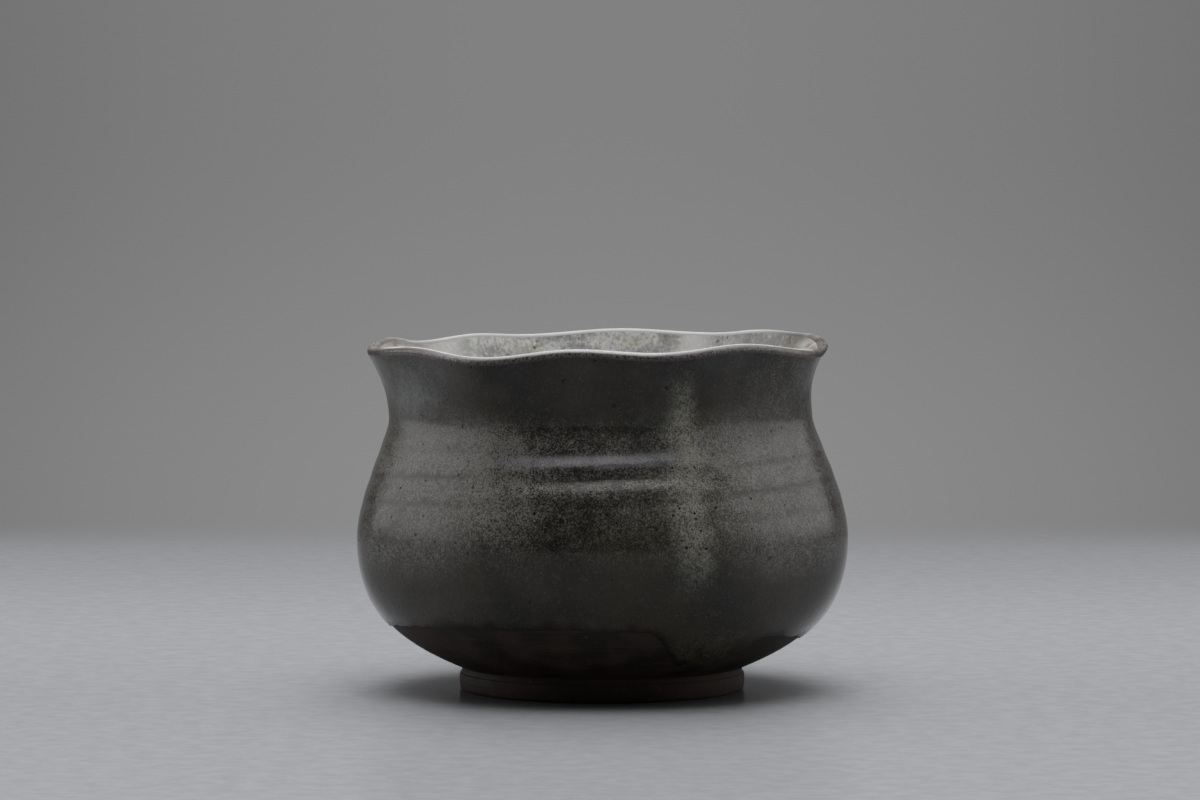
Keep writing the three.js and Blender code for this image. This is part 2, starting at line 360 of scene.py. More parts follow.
class Path:
    """A line of cubic stretches in the plane of the section, measured by its length."""

    steps = 100

    def __init__(self, stretches):
        self.points = [stretches[0][0]]
        for stretch in stretches:
            self.points += [cubic(stretch, (k + 1) / self.steps) for k in range(self.steps)]
        self.reach = [0.0]
        for first, second in zip(self.points, self.points[1:]):
            self.reach.append(self.reach[-1] + (second - first).length)
        self.length = self.reach[-1]

    def at(self, part):
        """The point at a share of the length."""
        goal = min(max(part, 0.0), 1.0) * self.length
        k = min(max(bisect.bisect_left(self.reach, goal), 1), len(self.reach) - 1)
        step = (goal - self.reach[k - 1]) / (self.reach[k] - self.reach[k - 1])
        return self.points[k - 1].lerp(self.points[k], step)

    def coat(self, part, thickness):
        """The point at a share of the length, moved off the line."""
        reach = 0.002
        ahead = (self.at(part + reach) - self.at(part - reach)).normalized()
        return self.at(part) + Vector((ahead.y, -ahead.x)) * thickness


def cubic(stretch, t):
    """A point of a cubic stretch."""
    a, b, c, d = stretch
    s = 1 - t
    return a * s**3 + b * (3 * s * s * t) + c * (3 * s * t * t) + d * t**3


def smoothstep(value, low, high):
    """0 below low, 1 above high, and smooth between them."""
    t = min(max((value - low) / (high - low), 0.0), 1.0)
    return t * t * (3 - 2 * t)


def lip_point(form, offset, distance=0.0):
    """A point by the middle of the lip: across the wall by offset, and along it by distance."""
    along_wall = flare_step(form, 1.0)
    across_wall = Vector((along_wall.y, -along_wall.x))
    half = form.lip_thickness / 2
    middle = Vector((form.lip_radius - half, form.lip_height - half))
    return middle + across_wall * offset + along_wall * distance


def flare_step(form, distance):
    """A step along the flare of the lip."""
    return Vector((math.cos(form.flare), math.sin(form.flare))) * distance


def wall_stretches(form, belly, neck, lip):
    """The stretches from the belly up to the neck, and from there to the lip."""
    middle = form.neck_height - form.belly_height
    high = form.lip_height - form.neck_height
    under_lip = flare_step(form, HOLD["under lip"] * high)
    return (
        (belly, belly + up(HOLD["over belly"] * middle), neck - up(HOLD["under neck"] * middle), neck),
        (neck, neck + up(HOLD["over neck"] * high), lip - under_lip, lip),
    )


def outer_path(form):
    """Outside of the clay, from the foot up to the lip."""
    start = Vector((form.foot_radius - form.groove_depth + form.base_overhang, form.foot_height))
    belly = Vector((form.belly_radius, form.belly_height))
    neck = Vector((form.neck_radius, form.neck_height))
    low = form.belly_height - form.foot_height
    slope = Vector((math.cos(form.base_angle), math.sin(form.base_angle)))
    return Path((
        (start, start + slope * HOLD["base"] * low, belly - up(HOLD["under belly"] * low), belly),
        *wall_stretches(form, belly, neck, lip_point(form, form.lip_thickness / 2)),
    ))


def inner_path(form):
    """Inside of the clay, from the lip down to the centre of the floor."""
    belly = Vector((form.belly_radius - form.belly_wall, form.belly_height))
    neck = Vector((form.neck_radius - form.neck_wall, form.neck_height))
    floor = Vector((0, form.foot_height + form.floor))
    lower, upper = wall_stretches(form, belly, neck, lip_point(form, -form.lip_thickness / 2))
    below = belly - up(HOLD["inside belly"] * (form.belly_height - floor.y))
    flat = Vector((HOLD["floor"] * belly.x, 0))
    return Path((upper[::-1], lower[::-1], (belly, below, floor + flat, floor)))


def up(distance):
    """A step straight up in the plane of the section."""
    return Vector((0, distance))


def crown(form, radius, count):
    """The half round over the lip, from the outside to the inside."""
    turns = [math.pi * k / count for k in range(count + 1)]
    return [lip_point(form, radius * math.cos(turn), radius * math.sin(turn)) for turn in turns]


def along(path, count, thickness=None):
    """Points at equal steps along a path, moved off it by a thickness for each share of the way."""
    parts = [k / count for k in range(count + 1)]
    if thickness is None:
        return [path.at(part) for part in parts]
    return [path.coat(part, thickness(part)) for part in parts]


def wall_section(form):
    """The clay from the nub under the foot, out, up, over the lip and down to the floor."""
    roof = form.foot_height + form.recess
    seat = form.foot_radius - form.foot_width - form.foot_taper
    steps = 12
    nub = [
        Vector((form.nub_radius * k / steps, roof - form.nub_height * (1 - smoothstep(k, 0, steps))))
        for k in range(steps + 1)
    ]
    slope = [
        Vector((seat - form.recess_slope * (1 - k / steps), roof - form.recess * smoothstep(k, 0, steps)))
        for k in range(steps + 1)
    ]
    outside = along(outer_path(form), count=150)
    inside = along(inner_path(form), count=60)
    over_lip = crown(form, form.lip_thickness / 2, LIP_CLAY_STEPS)
    return nub + slope + outside + over_lip[1:] + inside[1:]


def foot_section(form):
    """The foot ring, out along the bottom, up, in along its seat and down inside."""
    edge = form.foot_radius - form.foot_swell
    top = form.foot_radius - form.groove_depth
    inside = form.foot_radius - form.foot_width
    seat = inside - form.foot_taper
    chamfer = form.foot_chamfer
    high = form.foot_height
    groove = high - form.groove_height
    stretches = (
        straight((inside + chamfer, 0), (edge - chamfer, 0)),
        bend((edge - chamfer, 0), (edge - 0.3 * chamfer, 0.2 * chamfer), (edge, chamfer)),
        bend((edge, chamfer), (form.foot_radius + form.foot_swell, high / 2), (edge, groove)),
        bend((edge, groove), (top, groove), (top, high)),
        straight((top, high), (seat, high)),
        straight((seat, high), (inside, chamfer)),
        bend((inside, chamfer), (inside + 0.3 * chamfer, 0.2 * chamfer), (inside + chamfer, 0)),
    )
    steps = 12
    points = [stretches[0][0]]
    for stretch in stretches:
        points += [cubic(stretch, (k + 1) / steps) for k in range(steps)]
    return points


def straight(first, last):
    """A straight stretch as a cubic."""
    first, last = Vector(first), Vector(last)
    return first, first.lerp(last, 1 / 3), first.lerp(last, 2 / 3), last


def bend(first, middle, last):
    """A quadratic stretch as a cubic."""
    first, middle, last = Vector(first), Vector(middle), Vector(last)
    return first, first.lerp(middle, 2 / 3), last.lerp(middle, 2 / 3), last


def inner_section(form, glaze):
    """The inner glaze: up on the clay from the centre of the floor, and down on its own surface."""
    path = inner_path(form)
    calm_centre = 0.06

    def thickness(part):
        height = path.at(part).y
        near_lip = smoothstep(height, form.neck_height, form.lip_height - form.lip_thickness)
        ring = math.cos(TURN * part * path.length / glaze.ring_pitch)
        fade = (1 - near_lip) * smoothstep(1 - part, 0, calm_centre)
        return glaze.inner + (glaze.lip - glaze.inner) * near_lip + glaze.ring_depth * ring * fade

    clay = along(path, count=40)[::-1]
    surface = along(path, count=190, thickness=thickness)
    surface[-1].x = 0
    return clay + surface


def lip_section(form, glaze):
    """The glaze over the lip: round the outside, and back on the clay."""
    outside = crown(form, form.lip_thickness / 2 + glaze.lip, LIP_STEPS)
    return outside + crown(form, form.lip_thickness / 2, LIP_CLAY_STEPS)[::-1] + outside[:1]


def lip_marks():
    """Share of the way over the lip, from the outside to the inside, for each point of its section."""
    there = [k / LIP_STEPS for k in range(LIP_STEPS + 1)]
    back = [1 - k / LIP_CLAY_STEPS for k in range(LIP_CLAY_STEPS + 1)]
    return there + back + there[:1]


def outer_rows(rows, hidden):
    """Share of the way from glaze line to lip and share of the coat's thickness, row by row.

    The rows lie closer together half way, on the throwing ridges.
    """
    gather = 0.4
    shares = [k / rows - gather * math.sin(TURN * (k / rows - 0.5)) / TURN for k in range(rows + 1)]
    coated = [Vector((min(max(part, 0.0), 1.0), 1)) for part in shares]
    clay = [Vector((1 - k / hidden, 0)) for k in range(hidden + 1)]
    return coated + clay + coated[:1]


# Geometry Nodes

def new_object(name, data):
    """An object in the scene, at the origin."""
    made = bpy.data.objects.new(name, data)
    bpy.context.scene.collection.objects.link(made)
    return made


def line_object(name, points, marks=None):
    """A mesh line through points of the section, for a tree to read; its Y holds a mark."""
    marks = marks or [0.0] * len(points)
    mesh = bpy.data.meshes.new(name)
    edges = [(k, k + 1) for k in range(len(points) - 1)]
    mesh.from_pydata([(p.x, mark, p.y) for p, mark in zip(points, marks)], edges, [])
    return new_object(name, mesh)


def new_tree(name, inputs, outputs):
    """A node tree with named inputs and outputs, and its inputs as fields."""
    tree = bpy.data.node_groups.new(name, "GeometryNodeTree")
    for label, kind in outputs.items():
        tree.interface.new_socket(label, in_out="OUTPUT", socket_type=f"NodeSocket{kind}")
    for label, kind in inputs.items():
        tree.interface.new_socket(label, in_out="INPUT", socket_type=f"NodeSocket{kind}")
    node = tree.nodes.new("NodeGroupInput")
    return tree, {label: Field(node.outputs[label]) for label in inputs}


def panel_tree():
    """One panel: how far it is pressed in and how the lip rises over it, at an angle round the bowl."""
    labels = ("Angle", "Start", "Span", "Depth", "Step", "Arch", "Sharpness", "Softness")
    tree, inputs = new_tree("Panel", dict.fromkeys(labels, "Float"), {"Flat": "Float", "Rise": "Float"})
    place = ((inputs["Angle"] - inputs["Start"]) / inputs["Span"]).clamped()
    bow = (place * math.pi).math("SINE").math("MAXIMUM", 0.0)
    soft, power = inputs["Softness"] ** 2.0, inputs["Sharpness"] * 0.5
    rounded, corner, middle = (bow * bow + soft) ** power, soft ** power, (soft + 1) ** power
    flat = inputs["Depth"] * ((rounded - corner) / (middle - corner))
    rise = inputs["Step"] * place.smooth(0.0, 1.0) + inputs["Arch"] * bow * bow
    add(tree, "NodeGroupOutput", {"Flat": flat, "Rise": rise})
    return tree


def press_tree(form):
    """Presses a round form into its panels: radius, height and angle from the first corner to a place."""
    tree, inputs = new_tree(
        "Press", {"Radius": "Float", "Height": "Float", "Angle": "Float"}, {"Position": "Vector"})
    radius, height, turn = inputs["Radius"], inputs["Height"], inputs["Angle"]
    group = panel_tree()
    flat = 0.0
    rise = PANELS[0][1]
    for panel, after in zip(PANELS, PANELS[1:] + PANELS[:1]):
        span = (after[0] - panel[0]) % 360
        values = {
            "Angle": turn,
            "Start": (panel[0] - PANELS[0][0]) % 360,
            "Span": span,
            "Depth": 1 - math.cos(math.radians(span / 2)),
            "Step": after[1] - panel[1],
            "Arch": panel[2] - (panel[1] + after[1]) / 2,
            "Sharpness": form.sharpness,
            "Softness": form.softness,
        }
        node = call(tree, group, values)
        flat = Field(node.outputs["Flat"]) + flat
        rise = Field(node.outputs["Rise"]) + rise
    near_lip = height.smooth(form.neck_height, form.lip_height)
    flatness = height.smooth(form.press_start, form.press_full) * form.body_flatness \
        + near_lip * (form.lip_flatness - form.body_flatness)
    pressed = radius - flatness * form.belly_radius * flat
    untwisted = height.smooth(form.neck_height - form.twist_reach, form.lip_height)
    azimuth = (turn + PANELS[0][0]) / DEGREES + (1 - untwisted) * form.twist
    around = azimuth.math("COSINE").math("ARCCOSINE")
    rightward = azimuth.math("SINE").math("SIGN") * 0.5 + 0.5
    flick = form.flick_left + rightward * (form.flick - form.flick_left)
    at_ends = around.near(form.flick_azimuth, form.flick_reach)
    pressed = pressed + at_ends * height.smooth(form.flick_start, form.flick_full) * flick
    lift = rise * form.lip_wave * height.smooth(form.neck_height - form.wave_reach, form.lip_height)
    lean = height.smooth(form.neck_height - form.lean_reach, form.lip_height) * form.lip_lean
    position = together(
        pressed * azimuth.math("SINE") - lean,
        pressed * azimuth.math("COSINE") * -1.0,
        height + lift)
    add(tree, "NodeGroupOutput", {"Position": position})
    return tree


def call(tree, group, values):
    """A group node with its named inputs."""
    node = add(tree, "GeometryNodeGroup", node_tree=group)
    for label, value in values.items():
        plug(value, node.inputs[label])
    return node


def swell(inputs, turn, height):
    """Slow unevenness of a thrown surface."""
    between_seeds = 7.0
    place = circle(turn / DEGREES, GIRTH, height + inputs["Seed"] * between_seeds)
    return (noise(place, size=0.017, roughness=0.45) - 0.5) * 2.0 * inputs["Unevenness"]


def below_lip(form, height):
    """1 up to the neck, then less, and 0 from just under the lip."""
    margin = 0.003
    return height.smooth(form.neck_height, form.lip_height - margin, 1.0, 0.0)


def revolve(tree, inputs):
    """A grid with a column for each angle and a row for each point of a line of rows.

    It returns the grid, the angle in degrees, and each row's first number, mark and last number.
    """
    info = add(tree, "GeometryNodeObjectInfo", {"Object": inputs["Rows"]})
    lines = info.outputs["Geometry"]
    size = add(tree, "GeometryNodeAttributeDomainSize", {"Geometry": lines})
    rows = Field(size.outputs["Point Count"])
    grid = add(
        tree, "GeometryNodeMeshGrid",
        {"Size X": 1.0, "Size Y": 1.0, "Vertices X": inputs["Columns"] + 1, "Vertices Y": rows})
    own = tree.nodes.new("GeometryNodeInputPosition").outputs[0]
    across, down, _ = apart(own)
    row = ((down + 0.5) * (rows - 1)).math("ROUND")
    sample = add(
        tree, "GeometryNodeSampleIndex", {"Geometry": lines, "Index": row},
        data_type="FLOAT_VECTOR", domain="POINT")
    plug(own, sample.inputs["Value"])
    return grid.outputs["Mesh"], (across + 0.5) * 360.0, *apart(sample.outputs["Value"])


def stored(mesh, name, value):
    """The mesh with a number stored under a name for its material."""
    node = add(
        mesh.id_data, "GeometryNodeStoreNamedAttribute",
        {"Geometry": mesh, "Name": name, "Value": value}, data_type="FLOAT", domain="POINT")
    return node.outputs[0]


def close_surface(tree, inputs, mesh, position):
    """Moves the grid to its places, joins its seam and poles, smooths it and gives it its material."""
    moved = add(tree, "GeometryNodeSetPosition", {"Geometry": mesh, "Position": position})
    same_place = 1e-7
    merged = add(
        tree, "GeometryNodeMergeByDistance", {"Geometry": moved.outputs[0], "Distance": same_place})
    edge_angle = Field(tree.nodes.new("GeometryNodeInputMeshEdgeAngle").outputs["Unsigned Angle"])
    gentle = edge_angle.math("LESS_THAN", SHARP_EDGE)
    smooth = add(tree, "GeometryNodeSetShadeSmooth", {"Geometry": merged.outputs[0]}, domain="FACE")
    edges = add(
        tree, "GeometryNodeSetShadeSmooth",
        {"Geometry": smooth.outputs[0], "Shade Smooth": gentle}, domain="EDGE")
    real = add(tree, "GeometryNodeRealizeInstances", {"Geometry": edges.outputs[0]})
    painted = add(
        tree, "GeometryNodeSetMaterial",
        {"Geometry": real.outputs[0], "Material": inputs["Material"]})
    add(tree, "NodeGroupOutput", {"Geometry": painted.outputs[0]})


THROWN_INPUTS = {
    "Rows": "Object", "Columns": "Int", "Unevenness": "Float", "Seed": "Int", "Material": "Material",
}


def thrown_tree(form, press):
    """A piece revolved from a closed section, then pressed."""
    tree, inputs = new_tree("Thrown piece", THROWN_INPUTS, {"Geometry": "Geometry"})
    mesh, turn, radius, mark, height = revolve(tree, inputs)
    margin, above, aside = 0.001, 0.005, 0.03
    over_foot = height.smooth(form.foot_height + margin, form.foot_height + above)
    fade = below_lip(form, height) * over_foot * radius.smooth(0.0, aside)
    uneven = swell(inputs, turn, height) * fade
    pressed = call(tree, press, {"Radius": radius + uneven, "Height": height, "Angle": turn})
    close_surface(tree, inputs, stored(mesh, "over_lip", mark), pressed.outputs["Position"])
    return tree


# The glaze's settings that are numbers of the outer coat
COAT_SETTINGS = (
    "outer", "lip", "edge_share", "edge_length", "line_height", "line_tilt", "line_wander",
    "dip_azimuth", "run_azimuth", "run_width", "run_length", "ridge_depth", "ridge_pitch",
    "ridge_crest", "ridge_centre", "ridge_span", "unevenness",
)


def input_name(setting):
    """The name that a setting has as an input."""
    return setting.replace("_", " ").title()


COAT_INPUTS = {
    "Path": "Object", "Rows": "Object", "Columns": "Int", "Seed": "Int", "Material": "Material",
    **{input_name(setting): "Float" for setting in COAT_SETTINGS},
}


def glaze_line(tree, inputs, line, azimuth):
    """The share of the path where the glaze starts: a tilted line with one run."""
    away = (azimuth - inputs["Run Azimuth"] + math.pi).math("FLOORED_MODULO", TURN) - math.pi
    run = (away.math("ABSOLUTE") / inputs["Run Width"]).smooth(0.25, 1.0, 1.0, 0.0)
    tilt = (azimuth - inputs["Dip Azimuth"]).math("COSINE")
    place = circle(azimuth, radius=0.04, height=0.0)
    wander = (noise(place, size=0.006, detail=4.0, roughness=0.6) - 0.5) * 4.0
    height = inputs["Line Height"] + inputs["Line Tilt"] * tilt - inputs["Run Length"] * run \
        + inputs["Line Wander"] * wander
    samples = 4000
    fine = add(tree, "GeometryNodeResampleCurve", {"Curve": line, "Count": samples}, mode="COUNT")
    points = add(
        tree, "GeometryNodeCurveToPoints", {"Curve": fine.outputs[0]}, mode="EVALUATED")
    own = apart(tree.nodes.new("GeometryNodeInputPosition").outputs[0])
    upright = add(
        tree, "GeometryNodeSetPosition",
        {"Geometry": points.outputs["Points"], "Position": together(0.0, 0.0, own[2])})
    nearest = add(
        tree, "GeometryNodeSampleNearest",
        {"Geometry": upright.outputs[0], "Sample Position": together(0.0, 0.0, height)})
    return Field(nearest.outputs["Index"]) / (samples - 1.0)


def ridge_wave(phase):
    """The section of a throwing ridge, crest at 0: a long upper face, and a steep step under a crest."""
    place = (phase / TURN).math("FRACT")
    valley, brow = 0.52, 0.92
    fall = place.smooth(0.0, valley, 0.0, -0.7) - (place / valley).clamped() * 1.3
    climb = place.smooth(valley, brow, 0.0, 1.2)
    step = place.smooth(0.86, 1.0, 0.0, 0.8)
    return 1.0 + fall + climb + step


def coat_tree(form, press):
    """The outer glaze: a coat on the clay from the glaze line to the lip, with throwing ridges."""
    tree, inputs = new_tree("Outer coat", COAT_INPUTS, {"Geometry": "Geometry"})
    mesh, turn, part, _, coated = revolve(tree, inputs)
    info = add(tree, "GeometryNodeObjectInfo", {"Object": inputs["Path"]})
    line = add(tree, "GeometryNodeMeshToCurve", {"Mesh": info.outputs["Geometry"]}).outputs[0]
    azimuth = (turn + PANELS[0][0]) / DEGREES
    start = glaze_line(tree, inputs, line, azimuth + form.twist)
    where = start + (1 - start) * part
    sample = add(tree, "GeometryNodeSampleCurve", {"Curves": line, "Factor": where}, mode="FACTOR")
    radius, _, height = apart(sample.outputs["Position"])
    ahead_x, _, ahead_z = apart(sample.outputs["Tangent"])
    measure = add(tree, "GeometryNodeCurveLength", {"Curve": line})
    from_edge = (where - start) * Field(measure.outputs[0])
    edge = (from_edge / inputs["Edge Length"]).clamped().math("SQRT")
    body = inputs["Outer"] * (inputs["Edge Share"] + (1 - inputs["Edge Share"]) * edge)
    near_lip = height.smooth(form.neck_height, form.lip_height - form.lip_thickness)
    away = (height - inputs["Ridge Centre"]) / inputs["Ridge Span"]
    facing = (azimuth * 2.0).math("COSINE") * 0.5 + 0.5
    strength = (1 - away * away).math("MAXIMUM", 0.0) ** 2.0 * (0.15 + 0.85 * facing ** 3.0)
    place = circle(azimuth, GIRTH, height * 0.5)
    wobble = (noise(place, size=0.012, detail=4.0, roughness=0.6) - 0.5) * 1.9
    spiral = azimuth * 2.0 + wobble
    wave = ridge_wave((height - inputs["Ridge Crest"]) * TURN / inputs["Ridge Pitch"] - spiral)
    uneven = swell(inputs, turn, height) * below_lip(form, height) * edge
    thickness = body + (inputs["Lip"] - body) * near_lip \
        + inputs["Ridge Depth"] * strength * wave + uneven
    thickness = thickness * coated
    pressed = call(tree, press, {
        "Radius": radius + ahead_z * thickness,
        "Height": height - ahead_x * thickness,
        "Angle": turn,
    })
    mesh = stored(mesh, "from_edge", from_edge)
    close_surface(tree, inputs, mesh, pressed.outputs["Position"])
    return tree


def grow(tree, name, node, values):
    """Runs a tree, keeps the result as a plain mesh in place of its node, and removes the modifier."""
    piece = new_object(name, bpy.data.meshes.new(name))
    modifier = piece.modifiers.new("Form", "NODES")
    modifier.node_group = tree
    for item in tree.interface.items_tree:
        if item.in_out == "INPUT":
            modifier[item.identifier] = values[item.name]
    bpy.context.view_layer.update()
    evaluated = piece.evaluated_get(bpy.context.evaluated_depsgraph_get())
    mesh = bpy.data.meshes.new_from_object(evaluated)
    piece.modifiers.remove(modifier)
    piece.data = mesh
    mesh.name = name
    require_closed(piece)
    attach(piece, BODY)
    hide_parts(node)
    for value in values.values():
        if isinstance(value, bpy.types.Object):
            bpy.data.objects.remove(value)


def throw(scene, piece, node, section, unevenness, material, marks=None):
    """Makes a piece that is revolved from a closed section, and pressed."""
    tree = thrown_tree(scene.bowl_form, press_tree(scene.bowl_form))
    grow(tree, piece, node, {
        "Rows": line_object(f"{piece}_section", section, marks), "Columns": COLUMNS[piece],
        "Unevenness": unevenness, "Seed": scene.bowl_glaze.seed, "Material": material})


def require_closed(piece):
    """Stops the script if a piece isn't one closed surface with its faces out."""
    solid = bmesh.new()
    solid.from_mesh(piece.data)
    open_edges = sum(len(edge.link_faces) != 2 for edge in solid.edges)
    volume = solid.calc_volume(signed=True)
    solid.free()
    if open_edges or volume <= 0:
        raise RuntimeError(f"{piece.name}: {open_edges} open edges, volume {volume}")
    print(piece.name, len(piece.data.polygons), "faces", round(volume * 1e9), "mm3")


# Materials. Their numbers are millimetres of place or size, degrees round the bowl, levels of noise
# and shares of a colour.

def new_material(name):
    """A material with its tree and shader, and Object coordinates in millimetres."""
    material = bpy.data.materials.new(name)
    material.use_nodes = True
    tree = material.node_tree
    shader = find(tree, "BSDF_PRINCIPLED")
    coordinates = tree.nodes.new("ShaderNodeTexCoord")
    place = add(
        tree, "ShaderNodeVectorMath", {0: coordinates.outputs["Object"], 3: 1000.0}, operation="SCALE")
    return material, tree, shader, place.outputs[0]


def dots(place, spacing, radius, keep=1.0):
    """Round dots strewn about: 1 in a dot, 0 outside. Keep is the share of cells that have one."""
    node = add(place.id_data, "ShaderNodeTexVoronoi", {"Vector": place, "Scale": 1.0 / spacing})
    distance = Field(node.outputs["Distance"]) * spacing
    chance, size, _ = apart(node.outputs["Color"])
    reach = radius * (0.5 + size)
    inside = distance.smooth(reach * 0.7, reach * 1.3, 1.0, 0.0)
    return inside * chance.math("LESS_THAN", keep)


def mix(factor, first, second):
    """A colour between two."""
    node = add(factor.tree, "ShaderNodeMix", data_type="RGBA", clamp_factor=True)
    plug(factor, node.inputs[0])
    plug(first, node.inputs[6])
    plug(second, node.inputs[7])
    return node.outputs[2]


def layered(shade, *layers):
    """A colour under layers, from the lowest up: how far each covers it, and its own colour."""
    for cover, over in layers:
        shade = mix(cover, shade, over)
    return shade


def scaled(shade, factor):
    """A colour made lighter or darker."""
    return tuple(min(1.0, part * factor) for part in shade)


def bump(height, strength, before=None):
    """A bump of a height in millimetres."""
    values = {"Height": height, "Distance": 0.001, "Strength": strength}
    if before is not None:
        values["Normal"] = before
    return add(height.tree, "ShaderNodeBump", values).outputs[0]


def attribute(tree, name):
    """A number that the piece stores."""
    return Field(add(tree, "ShaderNodeAttribute", attribute_name=name).outputs["Fac"])


def finish(shader, shade, roughness, normal):
    """Gives the shader its colour, roughness and normal."""
    plug(shade, shader.inputs["Base Color"])
    plug(roughness, shader.inputs["Roughness"])
    plug(normal, shader.inputs["Normal"])


def clay_material(colours):
    """Bare iron-bearing clay: matt, reddish brown, with fine grit and turning lines."""
    material, tree, shader, place = new_material("bare_clay")
    x, y, z = apart(place)
    radius = from_axis(x, y)
    patches = noise(place, 9, 4).smooth(0.38, 0.62)
    grit = noise(place, 0.5, 2, 0.7)
    grains = dots(place, 2.2, 0.2)
    rings = noise(together(x * 0.05, y * 0.05, z * 2.6), 1.0, 3, 0.6)
    turned = noise(together(radius * 2.2, z * 0.2, 0.0), 1.0, 2, 0.6)
    beneath = z.smooth(6.2, 5.6) * radius.smooth(26.0, 24.0)
    shade = layered(
        colours.clay_dark,
        (patches * 0.8 + 0.1, colours.clay),
        (rings.smooth(0.5, 0.7) * 0.4, scaled(colours.clay, 1.5)),
        (z.smooth(7.0, 5.0) * 0.45, scaled(colours.clay, 1.45)),
        (grains * 0.5, scaled(colours.clay, 3)),
        (grit.smooth(0.45, 0.7) * 0.35, colours.clay_dark))
    surface = grit * 0.05 + rings * 0.13 + turned * beneath * 0.25 - grains * 0.04
    shader.inputs["IOR"].default_value = 1.3
    finish(shader, shade, patches * 0.15 + 0.6, bump(surface, 0.8))
    return material


